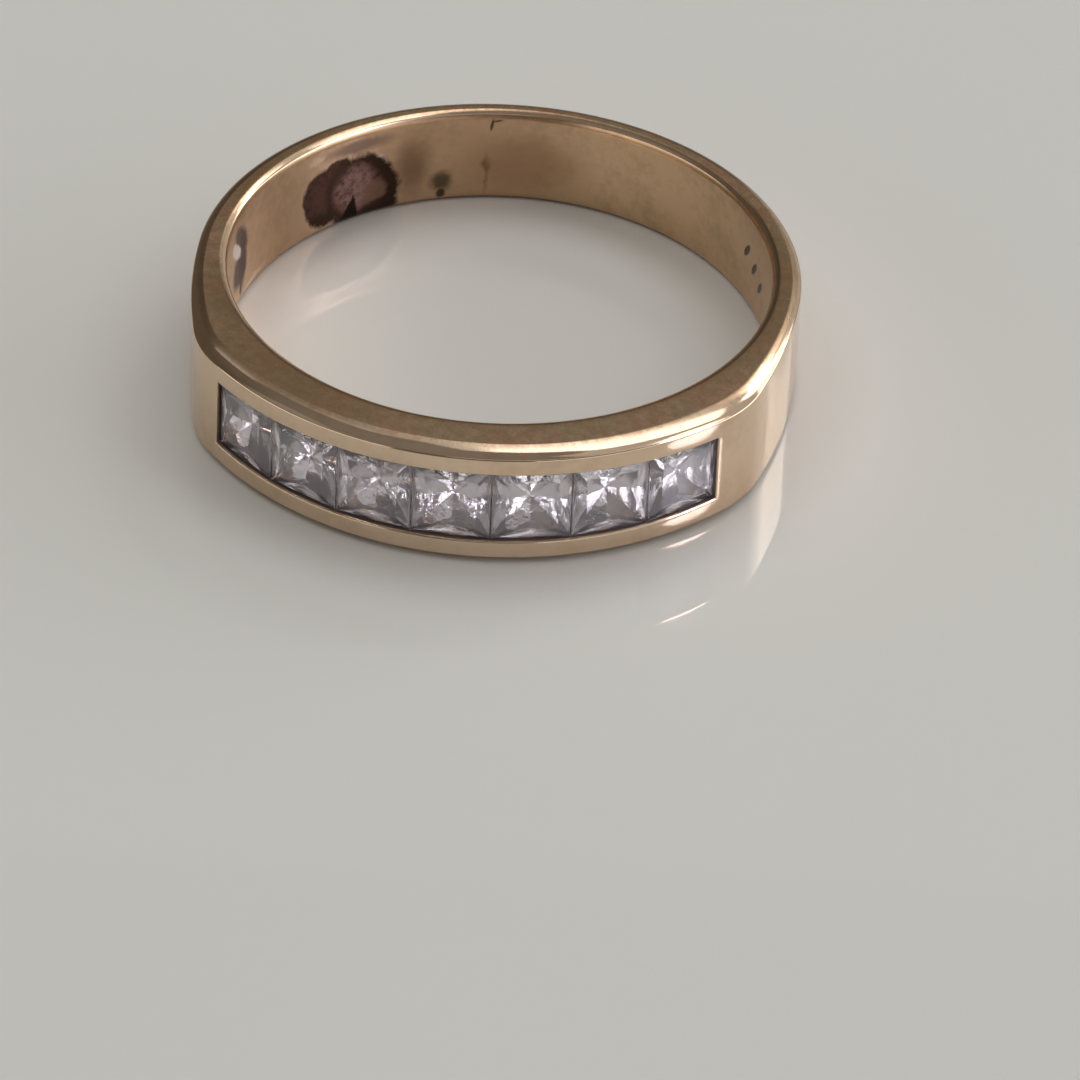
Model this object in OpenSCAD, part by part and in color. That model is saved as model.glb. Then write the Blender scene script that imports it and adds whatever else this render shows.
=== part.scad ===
// A gold ring with seven square stones set edge to edge in a channel.
// The ring lies on one side, as it does on a table: the finger hole points up
// and the stones look along -Y. The band is wider and thicker at the stones than
// at the back, so its two sides lean towards each other, and the finger hole
// leans back by half of that taper. The origin is where the axis of the finger
// hole meets the side that the ring rests on.
// Lengths are millimetres. An angle round the ring is counted from its front.

/* [Finger hole] */
// Diameter of the finger hole
hole_d = 17.2; // [16.4:0.1:18.4]
// Bevel at both rims of the finger hole
rim_bevel = 0.15; // [0.1:0.01:0.2]

/* [Band] */
// Thickness of the band at the stones
front_t = 1.86; // [1.84:0.01:2]
// Thickness of the band at its two sides
side_t = 0.96; // [0.9:0.01:1.05]
// Thickness of the band at the back
back_t = 0.64; // [0.6:0.01:0.9]
// Width of the band at the stones
front_w = 4.18; // [4.1:0.01:4.5]
// Width of the band at the back
back_w = 3.38; // [3:0.01:3.7]

/* [Face and shoulders] */
// Radius of the face that holds the stones, seen from above
face_r = 10.7; // [10.5:0.05:10.8]
// Angle from the front at which a shoulder ends in the flat side of the band
shoulder_end = 61; // [59:1:66]
// Radius of the flat side of the band, seen from above
side_arc_r = 19; // [17:1:26]
// Width of the rounded outer edge, as a share of the thickness there
edge_w_share = 0.33; // [0.25:0.01:0.36]
// Height of the rounded outer edge, as a share of the thickness there
edge_h_share = 0.135; // [0.1:0.005:0.15]

/* [Stones] */
// Width of one stone along the row
stone_w = 2.46; // [2.4:0.01:2.5]
// Height of one stone, across the row
stone_h = 2.62; // [2.61:0.01:2.66]
// Gap between two neighbouring stones
stone_gap = 0.03; // [0.02:0.01:0.05]
// How far the girdle of a stone lies below the face of the band
stone_recess = 0.31; // [0.3:0.01:0.34]
// Height of the crown, from the girdle up to the table
crown_h = 0.16; // [0.12:0.01:0.18]
// Depth of the pavilion, from the girdle down to its point
pavilion_h = 1.38; // [1.3:0.01:1.4]
// Half of the width of the table, as a share of half the stone
table_share = 0.66; // [0.55:0.01:0.75]

/* [Channel] */
// Height of the channel's mouth at its middle, between the two rails
mouth_h = 2.56; // [2.5:0.01:2.58]
// Height of the channel's mouth at its two ends
mouth_end_h = 2.34; // [2.3:0.01:2.5]
// Length of the lip over the outer edge of each end stone
end_lip = 0.1; // [0.05:0.01:0.15]
// Thickness of the rails' lips over the girdles
lip_t = 0.14; // [0.1:0.01:0.15]
// Thickness of the floor under the stones
floor_t = 0.62; // [0.6:0.01:0.66]
// Radius of the round hole behind each stone
window_r = 0.85; // [0.82:0.01:0.95]

/* [Hidden] */
STONES = 7;
STONE_NAMES = [for (i = [1:STONES]) str("stone_", i)];

GOLD = [0.72, 0.56, 0.36];
STONE_COLOUR = [0.86, 0.86, 0.92];

// Facets of a true circle and of a small hole, and the step between two columns
// of the outer surface
CIRCLE_FN = 128;
WINDOW_FN = 48;
STEP_DEG = 3;
// How far a cutting shape reaches past what it cuts
PAST = 0.1;
CLEAR = 1;

hole_r = hole_d / 2;
front_r = hole_r + front_t;
side_r = hole_r + side_t;
back_y = hole_r + back_t;

// Taper: half of the angle between the two sides, and the width at the hole's axis
lean = atan((front_w - back_w) / 2 / (front_r + back_y));
mid_w = front_w - 2 * front_r * tan(lean);

// The stones and their channel follow the face, so they are placed by their
// distance from its centre, which lies a little behind the axis of the hole
face_back = face_r - front_r;
face_c = [0, face_back];
girdle_r = face_r - stone_recess;
girdle_t = 0.05;
seat_gap = 0.025;
lip_r = face_r - lip_t;
floor_r = face_back + hole_r + floor_t;
ledge_drop = 0.18;
ledge_r = girdle_r - girdle_t - ledge_drop;
ledge_overlap = 0.1;
groove_half = stone_h / 2 + seat_gap;
pitch = 2 * atan((stone_w + stone_gap) / 2 / girdle_r);
channel_half = (STONES - 1) / 2 * pitch
             + atan((stone_w / 2 + seat_gap) / (girdle_r - girdle_t));
mouth_half = channel_half - atan((end_lip + seat_gap) / face_r);
mouth_end_y = face_back - face_r * cos(mouth_half);
mouth_slope = (mouth_h - mouth_end_h) / 2 / (mouth_end_y + front_r);

// Arcs of the outline, seen from above: face, shoulder, flat side and back.
// The shoulder's arc leaves the face without a corner and ends on the flat side.
face_margin = 1.5;
face_end = face_c + face_r * aim(channel_half + face_margin);
front_half = atan2(face_end[0], -face_end[1]);
back_shift = side_t - back_t;
back_c = [0, -back_shift];
side_c = [side_r - side_arc_r, -back_shift];
side_end = 90;
face_out = aim(channel_half + face_margin);
to_corner = arc_hit(side_c, side_arc_r, shoulder_end) * aim(shoulder_end) - face_end;
shoulder_r = -(to_corner * to_corner) / 2 / (to_corner * face_out);
shoulder_c = face_end - shoulder_r * face_out;

// Rows of the outer edge, from the crisp line on the face up to the flat side:
// [share of the edge's width inwards, share of the edge's height below the side]
EDGE = [[0, 1], [0.36, 0.32], [1, 0]];
INWARDS = 0;
BELOW = 1;

// Rows of a stone's pavilion, from the girdle down:
// [share of the depth, share of the half width at a corner, the same at mid side]
PAVILION = [[0, 1, 1], [0.24, 0.75, 0.83], [0.55, 0.42, 0.5]];
DEPTH = 0;
AT_CORNER = 1;
AT_SIDE = 2;

// Direction at an angle round the ring, from the front (-Y) towards +X
function aim(t) = [sin(t), -cos(t)];

// Distance from the axis at which the ray at angle t meets the circle round c
function arc_hit(c, r, t) =
    let (along = c * aim(t)) along + sqrt(along * along - c * c + r * r);

// Radius of the outer surface at angle t, one of four arcs on either side
function outer_r(t) =
    let (u = abs(t))
    u <= front_half ? arc_hit(face_c, face_r, u)
    : u <= shoulder_end ? arc_hit(shoulder_c, shoulder_r, u)
    : u <= side_end ? arc_hit(side_c, side_arc_r, u)
    : arc_hit(back_c, side_r, u);

// Half of the band's width at a distance y behind the axis
function half_w(y) = mid_w / 2 - y * tan(lean);

// Half of the height of the channel's mouth at a distance y behind the axis
function half_mouth(y) = mouth_h / 2 - (y + front_r) * mouth_slope;

// Point of the outer surface at angle t, in one row of the edge.
// A share below 0 in the BELOW column lies past the flat side.
function skin_point(t, row, side) =
    let (
        r = outer_r(t),
        t_here = r - hole_r,
        r_row = r - row[INWARDS] * edge_w_share * t_here,
        y = r_row * aim(t)[1],
        z = half_w(y) - row[BELOW] * edge_h_share * t_here
    )
    [r_row * aim(t)[0], y, side * z];

// The edge's last facet, carried on past the flat side that will cut it
function past_edge() =
    let (a = EDGE[1], b = EDGE[2], further = 0.6) b + (b - a) * further;

// A closed skin through rings of points, each ring counted the same way round
function ring_faces(rings, n) = concat(
    [[for (i = [0:n - 1]) i]],
    [for (k = [0:rings - 2], i = [0:n - 1])
        let (j = (i + 1) % n) [k * n + i, (k + 1) * n + i, (k + 1) * n + j]],
    [for (k = [0:rings - 2], i = [0:n - 1])
        let (j = (i + 1) % n) [k * n + i, (k + 1) * n + j, k * n + j]],
    [[for (i = [n - 1:-1:0]) (rings - 1) * n + i]]
);

// Places children on the side that the ring rests on
module laid() {
    rotate([-lean, 0, 0]) translate([0, 0, mid_w / 2]) children();
}

// Turns children to look straight out of the face, in the middle of one stone
module facing_out(i) {
    translate(face_c) rotate([0, 0, stone_angle(i)]) rotate([90, 0, 0]) children();
}

// Outer form of the band, a little too wide, with its rounded outer edges
module skin() {
    angles = [for (t = [0:STEP_DEG:360 - STEP_DEG]) t > 180 ? t - 360 : t];
    lower = [past_edge(), EDGE[1], EDGE[0]];
    upper = [EDGE[0], EDGE[1], past_edge()];
    points = concat(
        [for (row = lower, t = angles) skin_point(t, row, -1)],
        [for (row = upper, t = angles) skin_point(t, row, 1)]
    );
    polyhedron(points, ring_faces(len(lower) + len(upper), len(angles)), convexity = 6);
}

// The space between two leaning planes, a long way round the band: near and far
// are the half heights at its front and its back
module wedge(near, far) {
    reach = front_r + CLEAR;
    rotate([90, 0, 90]) translate([0, 0, -reach]) linear_extrude(2 * reach)
        polygon([[-reach, -near], [reach, -far], [reach, far], [-reach, near]]);
}

module between_sides() {
    reach = front_r + CLEAR;
    wedge(half_w(-reach), half_w(reach));
}

// Cone that bevels one rim of the finger hole, square to that side
module rim_cone() {
    deep = rim_bevel + 2 * PAST;
    translate([0, 0, mid_w / 2]) rotate([-lean, 0, 0]) translate([0, 0, -deep])
        cylinder(h = deep + PAST, r1 = hole_r + rim_bevel - deep,
                 r2 = hole_r + rim_bevel + PAST, $fn = CIRCLE_FN);
}

module finger_hole() {
    cylinder(h = 2 * front_w, r = hole_r, center = true, $fn = CIRCLE_FN);
    rim_cone();
    mirror([0, 0, 1]) rim_cone();
}

// A stretch of a ring round the centre of the face, half_angle to either side,
// whose outline has the points given as [distance from the centre, half height]
module face_stretch(half_angle, half_outline) {
    below = [for (i = [len(half_outline) - 1:-1:0])
        [half_outline[i][0], -half_outline[i][1]]];
    translate(face_c) rotate([0, 0, -90 - half_angle])
        rotate_extrude(angle = 2 * half_angle, $fn = CIRCLE_FN)
            polygon(concat(half_outline, below));
}

// Seats of the stones: groove for the girdles, ledge, and space down to the floor
module seats() {
    ledge_half = groove_half - ledge_overlap;
    face_stretch(channel_half, [
        [floor_r, ledge_half], [ledge_r, ledge_half],
        [ledge_r, groove_half], [lip_r, groove_half]
    ]);
}

// Mouth of the channel, which narrows a little towards its two ends
module mouth() {
    reach = front_r + CLEAR;
    intersection() {
        face_stretch(mouth_half, [[lip_r - PAST, mouth_h], [face_r + CLEAR, mouth_h]]);
        wedge(half_mouth(-reach), half_mouth(reach));
    }
}

// Round holes that let light in behind the stones
module windows() {
    for (i = [1:STONES])
        facing_out(i) translate([0, 0, floor_r - floor_t - CLEAR])
            cylinder(h = floor_t + CLEAR + PAST, r = window_r, $fn = WINDOW_FN);
}

// Angle of a stone's middle round the centre of the face
function stone_angle(i) = (i - (STONES + 1) / 2) * pitch;

module band() {
    color(GOLD)
    difference() {
        intersection() {
            skin();
            between_sides();
        }
        finger_hole();
        seats();
        mouth();
        windows();
    }
}

// Four corners of a stone at one height
function stone_corners(share, z) =
    [for (k = [0:3])
        let (a = 90 * k + 45)
        [sign(cos(a)) * share * stone_w / 2, sign(sin(a)) * share * stone_h / 2, z]];

// Eight points of a stone at one height: four corners and four mid sides
function stone_row(corner_share, side_share, z) =
    let (corners = stone_corners(corner_share, z), sides = stone_corners(side_share, z))
    [for (k = [0:3]) each [corners[k], (sides[k] + sides[(k + 1) % 4]) / 2]];

// One square-cut stone, its table looking along +Z and its girdle top at z = 0.
// Each flat between two rows is split along the line from corner to mid side,
// which draws the chevrons of the cut.
module cut_stone() {
    n = 8;
    table = stone_corners(table_share, crown_h);
    rows = concat(
        stone_row(1, 1, 0),
        [for (row = PAVILION, p = stone_row(row[AT_CORNER], row[AT_SIDE],
                                            -girdle_t - row[DEPTH] * pavilion_h)) p]
    );
    tip = [0, 0, -girdle_t - pavilion_h];
    first = len(table);
    tip_at = first + len(rows);
    levels = len(rows) / n;
    crown = [for (k = [0:3])
        let (c = first + 2 * k, m = c + 1, d = first + (2 * k + 2) % n, next = (k + 1) % 4)
        each [[k, next, m], [k, m, c], [next, d, m]]];
    sides = [for (q = [0:levels - 2], k = [0:n - 1])
        let (
            a = first + q * n + k,
            b = first + q * n + (k + 1) % n,
            c = b + n,
            d = a + n
        )
        each (k % 2 == 0 ? [[a, b, c], [a, c, d]] : [[a, b, d], [b, c, d]])];
    point = [for (k = [0:n - 1])
        [tip_at - n + k, tip_at - n + (k + 1) % n, tip_at]];
    polyhedron(
        concat(table, rows, [tip]),
        concat([[3, 2, 1, 0]], crown, sides, point),
        convexity = 2
    );
}

module stone(i) {
    color(STONE_COLOUR)
    facing_out(i) translate([0, 0, girdle_r]) cut_stone();
}

laid() band();
for (i = [1:STONES])
    laid() stone(i);
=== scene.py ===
"""Looks of a gold ring with seven square-cut stones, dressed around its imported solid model."""

import logging
import math
from dataclasses import dataclass
from enum import Enum
from functools import cached_property
from typing import Any, Sequence, Union

import bmesh
import bpy
import numpy as np
from mathutils import Matrix, Vector


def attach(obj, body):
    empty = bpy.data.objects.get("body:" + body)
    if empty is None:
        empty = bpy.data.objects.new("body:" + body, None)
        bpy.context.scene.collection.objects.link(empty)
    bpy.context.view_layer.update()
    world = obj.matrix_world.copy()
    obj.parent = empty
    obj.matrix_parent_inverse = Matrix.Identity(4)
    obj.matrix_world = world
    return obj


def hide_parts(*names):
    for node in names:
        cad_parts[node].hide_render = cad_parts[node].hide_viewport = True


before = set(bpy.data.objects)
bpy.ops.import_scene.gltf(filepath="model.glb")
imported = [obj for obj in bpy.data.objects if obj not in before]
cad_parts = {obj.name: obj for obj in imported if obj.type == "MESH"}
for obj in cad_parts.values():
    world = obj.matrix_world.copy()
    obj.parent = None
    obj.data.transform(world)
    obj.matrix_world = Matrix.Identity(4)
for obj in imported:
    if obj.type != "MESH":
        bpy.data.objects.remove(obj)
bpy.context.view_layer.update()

LOG = logging.getLogger("gold_ring")
MM = 0.001
MIX_SHARE, MIX_FIRST, MIX_SECOND, MIX_RESULT = 0, 6, 7, 2
Colour = tuple[float, float, float]
Pair = tuple[float, float]


class Slot(Enum):
    """Material slots of the record, for the gold and the clear stone."""

    GOLD = "gold"
    STONE = "clear_stone"


# Shader building


class Num:
    """A number in a shader. Each operator adds one Math node and gives its result."""

    def __init__(self, shader: "Shader", socket: bpy.types.NodeSocket) -> None:
        """Wraps an output socket of a shader."""
        self.shader = shader
        self.socket = socket

    def _math(self, operation: str, *terms: "Term") -> "Num":
        """Adds a Math node over the terms, in their order."""
        node = self.shader.node("ShaderNodeMath", {"operation": operation}, dict(enumerate(terms)))
        return Num(self.shader, node.outputs[0])

    def __add__(self, other: "Term") -> "Num":
        """Sum."""
        return self._math("ADD", self, other)

    __radd__ = __add__

    def __sub__(self, other: "Term") -> "Num":
        """Difference."""
        return self._math("SUBTRACT", self, other)

    def __rsub__(self, other: "Term") -> "Num":
        """Difference, from a plain number."""
        return self._math("SUBTRACT", other, self)

    def __mul__(self, other: "Term") -> "Num":
        """Product."""
        return self._math("MULTIPLY", self, other)

    __rmul__ = __mul__

    def __truediv__(self, other: "Term") -> "Num":
        """Quotient."""
        return self._math("DIVIDE", self, other)

    def root(self) -> "Num":
        """Square root."""
        return self._math("SQRT", self)

    def __abs__(self) -> "Num":
        """Size without sign."""
        return self._math("ABSOLUTE", self)

    def least(self, other: "Term") -> "Num":
        """Smaller of the two."""
        return self._math("MINIMUM", self, other)

    def most(self, other: "Term") -> "Num":
        """Larger of the two."""
        return self._math("MAXIMUM", self, other)

    def floor(self) -> "Num":
        """Whole number at or below this one."""
        return self._math("FLOOR", self)

    def angle_from(self, other: "Term") -> "Num":
        """Angle whose tangent is this number over the other, in radians."""
        return self._math("ARCTAN2", self, other)

    def step(self, low: float, high: float) -> "Num":
        """Soft step from 0 at low to 1 at high. With low above high it falls from 1 to 0.

        Args:
            low: Where the step starts, or ends if it falls.
            high: Where the step ends, or starts if it falls.

        Returns:
            A number between 0 and 1.
        """
        flip = low > high
        ends = {"From Min": min(low, high), "From Max": max(low, high)}
        to = {"To Min": 1.0 if flip else 0.0, "To Max": 0.0 if flip else 1.0}
        node = self.shader.node(
            "ShaderNodeMapRange", {"interpolation_type": "SMOOTHSTEP"}, {"Value": self, **ends, **to}
        )
        return Num(self.shader, node.outputs["Result"])


Term = Union[Num, float]


class Shader:
    """Builds the nodes of one material, or of the surroundings."""

    def __init__(self, owner: bpy.types.Material | bpy.types.World) -> None:
        """Clears the nodes of their owner and adds an output node.

        Args:
            owner: Material, or the surroundings.
        """
        owner.use_nodes = True
        self.tree = owner.node_tree
        self.tree.nodes.clear()
        kind = "World" if isinstance(owner, bpy.types.World) else "Material"
        self.output = self.node("ShaderNodeOutput" + kind)

    def finish(self, kind: str, inputs: dict[str, Any]) -> None:
        """Adds the node that gives the surface or the surroundings their look, and links it."""
        look = self.node(kind, inputs=inputs)
        self.tree.links.new(look.outputs[0], self.output.inputs["Surface"])

    def node(
        self, kind: str, settings: dict[str, Any] | None = None, inputs: dict[Any, Any] | None = None
    ) -> bpy.types.Node:
        """Adds a node.

        Args:
            kind: Blender's name for the type of node.
            settings: Values of the node itself, set first.
            inputs: Value, link or Num for each named or numbered socket.

        Returns:
            The new node.
        """
        node = self.tree.nodes.new(kind)
        for key, value in (settings or {}).items():
            setattr(node, key, value)
        for key, value in (inputs or {}).items():
            socket = node.inputs[key]
            if isinstance(value, Num):
                self.tree.links.new(value.socket, socket)
            elif isinstance(value, bpy.types.NodeSocket):
                self.tree.links.new(value, socket)
            else:
                socket.default_value = value
        return node

    def noise(self, place: Any, grain: "Grain") -> Num:
        """Cloudy noise between 0 and 1, at a place in millimetres."""
        sizes = {"Scale": grain.scale, "Detail": grain.detail, "Roughness": grain.roughness}
        return Num(self, self.node("ShaderNodeTexNoise", inputs={"Vector": place, **sizes}).outputs[0])

    def bumps(self, height: Num, strength: float, depth: float) -> bpy.types.NodeSocket:
        """Normal bent by a height from 0 to 1, with its depth in millimetres."""
        inputs = {"Strength": strength, "Distance": depth * MM, "Height": height}
        return self.node("ShaderNodeBump", inputs=inputs).outputs[0]

    def split(self, vector: Any) -> tuple[Num, ...]:
        """The three numbers of a vector."""
        node = self.node("ShaderNodeSeparateXYZ", inputs={0: vector})
        return tuple(Num(self, socket) for socket in node.outputs)

    def mix(self, share: Term, first: Any, second: Any) -> bpy.types.NodeSocket:
        """Colour between two others.

        Args:
            share: Share of the second colour.
            first: A colour, or the socket of one.
            second: A colour, or the socket of one.

        Returns:
            Socket of the mixed colour.
        """
        inputs: dict[int, Any] = {MIX_SHARE: share}
        for key, end in ((MIX_FIRST, first), (MIX_SECOND, second)):
            inputs[key] = end if isinstance(end, bpy.types.NodeSocket) else (*end, 1.0)
        return self.node("ShaderNodeMix", {"data_type": "RGBA"}, inputs).outputs[MIX_RESULT]

    def blob(self, u: Num, v: Num, spot: "Spot") -> Num:
        """Distance from the middle of an oval, counted so that its edge is at 1.

        Args:
            u: Way along the unrolled wall, in mm.
            v: Way up the unrolled wall, in mm.
            spot: The oval.

        Returns:
            The root of the sum of the squares of both ways, each over its half size.
        """
        turn = math.radians(spot.turn)
        du = u - spot.u
        dv = v - spot.v
        along = (du * math.cos(turn) + dv * math.sin(turn)) / spot.half_u
        across = (dv * math.cos(turn) - du * math.sin(turn)) / spot.half_v
        return (along * along + across * across).root()

    def wedge(self, u: Num, v: Num, notch: "Notch") -> Num:
        """Distance along u from a wedge that stands on its foot, below 0 inside it.

        Args:
            u: Way along the unrolled wall, in mm.
            v: Way up the unrolled wall, in mm.
            notch: The wedge.

        Returns:
            The larger of the ways past its left and its right edge.
        """
        fall = notch.v - v
        past_left = notch.u - u - fall * notch.left_slope
        past_right = u - notch.u - fall * notch.right_slope
        return past_left.most(past_right)


@dataclass(frozen=True)
class Grain:
    """A noise: blobs to a millimetre, how many finer layers it has, and how strong each one is."""

    scale: float
    detail: float = 3.0
    roughness: float = 0.55


@dataclass(frozen=True)
class Spot:
    """An oval on the unrolled wall of the hole: middle, half sizes and turn, in mm and degrees."""

    u: float
    v: float
    half_u: float
    half_v: float
    turn: float = 0.0


@dataclass(frozen=True)
class Notch:
    """A wedge on the unrolled wall: its point in mm, and how fast each side leans out below it."""

    u: float
    v: float
    left_slope: float
    right_slope: float


# Shape of the ring, shared by its pieces


@dataclass(frozen=True)
class RingShape:
    """Sizes that the band and its channel share with the solid model, in millimetres and degrees.

    The ring's own frame has the axis of the finger hole along Z, the middle of the band's
    width at z = 0 and the stones towards -Y. An angle round the ring is counted from the
    front, towards +X.
    """

    hole_r: float = 8.6
    front_t: float = 1.86
    side_t: float = 0.96
    back_t: float = 0.64
    front_w: float = 4.18
    back_w: float = 3.38
    face_r: float = 10.7
    face_margin: float = 1.5
    shoulder_end: float = 61.0
    side_arc_r: float = 19.0
    edge_w_share: float = 0.33
    stones: int = 7
    stone_w: float = 2.46
    stone_h: float = 2.62
    stone_gap: float = 0.03
    stone_recess: float = 0.31
    girdle_t: float = 0.05
    seat_gap: float = 0.025
    mouth_h: float = 2.56
    mouth_end_h: float = 2.34
    end_lip: float = 0.1
    lip_t: float = 0.14
    ledge_drop: float = 0.18
    ledge_overlap: float = 0.1
    floor_t: float = 0.62
    window_r: float = 0.85

    @cached_property
    def front_r(self) -> float:
        """Radius of the outside at the middle stone."""
        return self.hole_r + self.front_t

    @cached_property
    def side_r(self) -> float:
        """Radius of the outside at the two sides."""
        return self.hole_r + self.side_t

    @cached_property
    def lean_slope(self) -> float:
        """Slope of each side of the band, half of its taper."""
        return (self.front_w - self.back_w) / 2 / (self.front_r + self.hole_r + self.back_t)

    @cached_property
    def lean(self) -> float:
        """Angle of each side of the band, in radians."""
        return math.atan(self.lean_slope)

    @cached_property
    def mid_w(self) -> float:
        """Width of the band at the axis of the hole."""
        return self.front_w - 2 * self.front_r * self.lean_slope

    @cached_property
    def face_back(self) -> float:
        """How far the centre of the face lies behind the axis of the hole."""
        return self.face_r - self.front_r

    @cached_property
    def girdle_r(self) -> float:
        """Distance of the stones' girdles from the centre of the face."""
        return self.face_r - self.stone_recess

    @cached_property
    def floor_r(self) -> float:
        """Distance of the channel's floor from the centre of the face."""
        return self.face_back + self.hole_r + self.floor_t

    @cached_property
    def pitch(self) -> float:
        """Angle between two stones round the centre of the face."""
        return 2 * math.degrees(math.atan((self.stone_w + self.stone_gap) / 2 / self.girdle_r))

    @cached_property
    def channel_half(self) -> float:
        """Half angle of the channel under its lips."""
        end = (self.stone_w / 2 + self.seat_gap) / (self.girdle_r - self.girdle_t)
        return (self.stones - 1) / 2 * self.pitch + math.degrees(math.atan(end))

    @cached_property
    def mouth_half(self) -> float:
        """Half angle of the channel's mouth."""
        return self.channel_half - math.degrees(math.atan((self.end_lip + self.seat_gap) / self.face_r))

    @cached_property
    def mouth_slope(self) -> float:
        """How fast the half height of the mouth shrinks towards its ends."""
        end_y = self.face_back - self.face_r * math.cos(math.radians(self.mouth_half))
        return (self.mouth_h - self.mouth_end_h) / 2 / (end_y + self.front_r)

    @cached_property
    def arcs(self) -> tuple[tuple[float, np.ndarray, float], ...]:
        """Arcs of the outline on one side, from the front to the back.

        Returns:
            The angle where each arc ends, its centre and its radius.
        """
        face_c = np.array([0.0, self.face_back])
        out = aim(np.array(self.channel_half + self.face_margin))
        face_end = face_c + self.face_r * out
        back_shift = self.side_t - self.back_t
        side_c = np.array([self.side_r - self.side_arc_r, -back_shift])
        back_c = np.array([0.0, -back_shift])
        corner_angle = np.array(self.shoulder_end)
        corner = ray_to_arc(side_c, self.side_arc_r, corner_angle) * aim(corner_angle) - face_end
        shoulder_r = -float(corner @ corner) / 2 / float(corner @ out)
        return (
            (math.degrees(math.atan2(face_end[0], -face_end[1])), face_c, self.face_r),
            (self.shoulder_end, face_end - shoulder_r * out, shoulder_r),
            (math.degrees(math.atan2(self.side_r, back_shift)), side_c, self.side_arc_r),
            (180.0, back_c, self.side_r),
        )

    def outer_r(self, angle: np.ndarray) -> np.ndarray:
        """Distance of the outside from the axis: a ray at the angle meets one of four arcs.

        Args:
            angle: Angles round the ring, in degrees between -180 and 180.

        Returns:
            One distance for each angle, in millimetres.
        """
        turned = np.abs(angle)
        hits = [ray_to_arc(centre, radius, turned) for _, centre, radius in self.arcs]
        return np.select([turned <= end for end, _, _ in self.arcs[:3]], hits[:3], hits[3])

    def half_w(self, y: np.ndarray) -> np.ndarray:
        """Half of the band's width at a distance y behind the axis."""
        return self.mid_w / 2 - y * self.lean_slope

    def half_mouth(self, y: np.ndarray) -> np.ndarray:
        """Half of the height of the channel's mouth at a distance y behind the axis."""
        return self.mouth_h / 2 - (y + self.front_r) * self.mouth_slope

    def at_face(self, angle: np.ndarray, distance: np.ndarray) -> np.ndarray:
        """Points (x, y) at a distance from the centre of the face, at angles round it."""
        return aim(angle) * np.asarray(distance)[..., None] + np.array([0.0, self.face_back])

    def laid(self, points: np.ndarray) -> np.ndarray:
        """Lays points of the ring's own frame on its side: raised by half the width, then leant back.

        Args:
            points: Points in millimetres, one a row.

        Returns:
            The points in metres, in the frame of the model.
        """
        x, y, z = points.T
        z = z + self.mid_w / 2
        cos, sin = math.cos(self.lean), math.sin(self.lean)
        return np.stack([x, y * cos + z * sin, z * cos - y * sin], -1) * MM

    def place(self, shader: Shader) -> bpy.types.NodeSocket:
        """Turns Object coordinates into millimetres in the ring's own frame.

        Args:
            shader: Shader that the nodes are added to.

        Returns:
            Socket of the place.
        """
        inputs = {
            "Vector": shader.node("ShaderNodeTexCoord").outputs["Object"],
            "Scale": (1 / MM,) * 3,
            "Rotation": (self.lean, 0, 0),
            "Location": (0, 0, -self.mid_w / 2),
        }
        return shader.node("ShaderNodeMapping", inputs=inputs).outputs[0]


def aim(angle: np.ndarray) -> np.ndarray:
    """Direction (sin, -cos) at an angle round the ring, from the front towards +X."""
    turn = np.radians(angle)
    return np.stack([np.sin(turn), -np.cos(turn)], -1)


def ray_to_arc(centre: np.ndarray, radius: float, angle: np.ndarray) -> np.ndarray:
    """Distance from the axis at which the ray at an angle leaves the circle round the centre."""
    along = aim(angle) @ centre
    return along + np.sqrt(np.maximum(along**2 - centre @ centre + radius**2, 0))


def grid_faces(
    n_u: int, n_v: int, wrap_u: bool = False, wrap_v: bool = False, keep: np.ndarray | None = None
) -> np.ndarray:
    """Quads between the points of a grid, counted row by row.

    Args:
        n_u: Points along the first axis.
        n_v: Points along the second axis.
        wrap_u: Whether the first axis closes on itself.
        wrap_v: Whether the second axis closes on itself.
        keep: One value for each quad, False where it is left out.

    Returns:
        Four point numbers for each quad.
    """
    i = np.arange(n_u if wrap_u else n_u - 1)[:, None]
    j = np.arange(n_v if wrap_v else n_v - 1)[None, :]
    i_next, j_next = (i + 1) % n_u, (j + 1) % n_v
    corners = (i * n_v + j, i_next * n_v + j, i_next * n_v + j_next, i * n_v + j_next)
    quads = np.stack(np.broadcast_arrays(*corners), -1)
    return quads.reshape(-1, 4) if keep is None else quads[keep]


def inner_shares(count: int) -> np.ndarray:
    """Even shares between 0 and 1, both left out."""
    return np.linspace(0, 1, count + 2)[1:-1]


def bend_through(start: np.ndarray, corner: np.ndarray, end: np.ndarray, steps: int) -> np.ndarray:
    """Points of the curve (1-s)^2 start + 2s(1-s) corner + s^2 end, both ends included."""
    s = np.linspace(0, 1, steps + 1)[:, None]
    return (1 - s) ** 2 * start + 2 * s * (1 - s) * corner + s**2 * end


def rounded_path(corners: Sequence[Pair], cuts: Sequence[float], steps: int) -> np.ndarray:
    """Runs straight between corners and rounds each inner one.

    Args:
        corners: Points of the path.
        cuts: How far from each inner corner its rounding starts.
        steps: Steps in each rounding.

    Returns:
        Points of the path without its first and last corner.
    """
    path = [np.array(c, float) for c in corners]
    pieces = []
    for before, corner, after, cut in zip(path, path[1:], path[2:], cuts):
        start = corner + (before - corner) / np.linalg.norm(before - corner) * cut
        end = corner + (after - corner) / np.linalg.norm(after - corner) * cut
        pieces.append(bend_through(start, corner, end, steps))
    return np.concatenate(pieces)


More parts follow.
